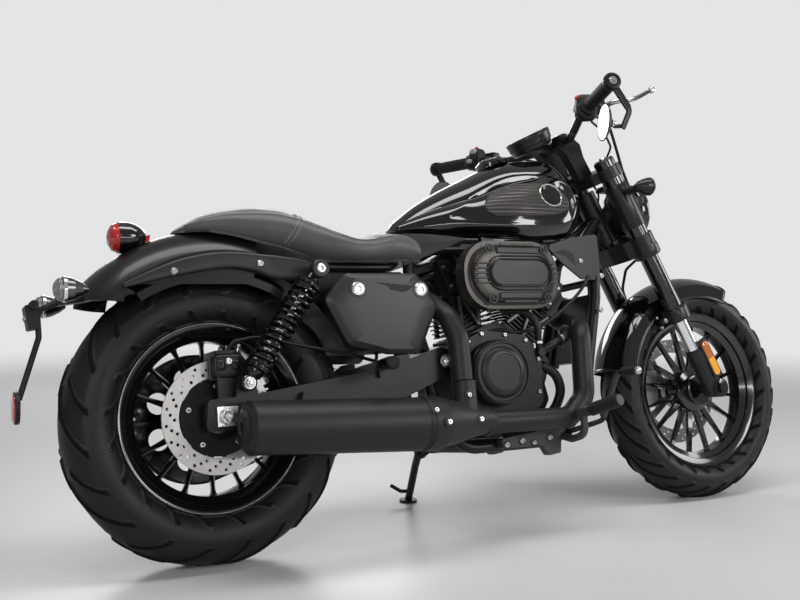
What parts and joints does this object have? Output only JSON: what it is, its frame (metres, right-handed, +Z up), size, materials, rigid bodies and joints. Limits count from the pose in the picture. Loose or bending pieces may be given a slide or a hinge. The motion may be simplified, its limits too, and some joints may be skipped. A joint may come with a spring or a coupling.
{
  "type": "motorcycle",
  "caption": "Black cruiser motorcycle with a V-twin engine, cast wheels and all-black trim, parked leaning on its side stand",
  "frame": {"origin": "on the floor under the middle of the parked motorcycle's overall length and width", "axes": "+X towards the front wheel, +Y to the rider's left, the side it leans to, +Z up from the floor"},
  "size_m": [2.1149, 0.8597, 1.0927],
  "materials": {
    "frame_black": "satin",
    "paint_black": "gloss",
    "wheel_black": "gloss",
    "engine_black": "satin",
    "exhaust_black": "matte",
    "trim_black": "satin",
    "cover_grey": "satin",
    "alloy": "satin",
    "steel": "satin",
    "chrome": "polished",
    "tyre": "matte",
    "rubber": "matte",
    "seat_leather": "satin",
    "black_plastic": "matte",
    "amber": "gloss",
    "red": "gloss",
    "clear_lens": "gloss",
    "mirror_glass": "polished"
  },
  "bodies": {
    "frame": {"main_frame": "frame_black", "seat_rails": "frame_black", "swingarm": "frame_black", "rear_axle": "steel", "pivot_bolt": "steel", "shocks": "wheel_black", "engine_case": "engine_black", "cylinders": "engine_black", "cylinder_heads": "engine_black", "engine_covers": "engine_black", "drive_belt": "rubber", "drive_pulley": "steel", "air_cleaner": "trim_black", "radiator": "black_plastic", "exhaust_pipes": "exhaust_black", "muffler": "exhaust_black", "fuel_tank": "paint_black", "tank_panels": "cover_grey", "fuel_cap": "paint_black", "seat": "seat_leather", "side_covers": "cover_grey", "battery_box": "black_plastic", "neck_covers": "cover_grey", "rear_fender": "paint_black", "fender_struts": "trim_black", "tail_light": "red", "plate_bracket": "black_plastic", "rear_indicators": "chrome", "rider_pegs": "frame_black", "foot_controls": "frame_black", "passenger_pegs": "frame_black", "rear_caliper": "engine_black"},
    "steering": {"triple_clamps": "trim_black", "fork_tubes": "trim_black", "fork_legs": "trim_black", "front_axle": "frame_black", "front_caliper": "alloy", "front_fender": "paint_black", "headlight": "trim_black", "headlight_lens": "clear_lens", "front_indicators": "trim_black", "speedometer": "black_plastic", "handlebar": "trim_black", "bar_risers": "trim_black", "grips": "rubber", "switchgear": "black_plastic", "hand_levers": "alloy", "mirrors": "trim_black", "control_lines": "rubber"},
    "front_wheel": {"front_tyre": "tyre", "front_rim": "wheel_black", "front_disc": "steel"},
    "rear_wheel": {"rear_tyre": "tyre", "rear_rim": "wheel_black", "rear_disc": "steel", "rear_pulley": "trim_black"},
    "side_stand": {"side_stand": "frame_black"}
  },
  "joints": [
    {"name": "steering_turn", "type": "hinge", "parent": "frame", "child": "steering", "pos_m": [0.50636, -0.04719, 0.71046], "axis": [-0.4415, 0.1404, 0.8862], "range_deg": [-35, 35]},
    {"name": "front_wheel_spin", "type": "hinge", "parent": "steering", "child": "front_wheel", "pos_m": [0.7595, -0.11279, 0.2963], "axis": [0, 0.9877, -0.1564], "continuous": true},
    {"name": "rear_wheel_spin", "type": "hinge", "parent": "frame", "child": "rear_wheel", "pos_m": [-0.6605, -0.11099, 0.30766], "axis": [0, 0.9877, -0.1564], "continuous": true},
    {"name": "side_stand_fold", "type": "hinge", "parent": "frame", "child": "side_stand", "pos_m": [-0.0605, 0.00922, 0.17168], "axis": [0.1857, 0.7175, 0.6714], "range_deg": [0, 98.2]}
  ]
}
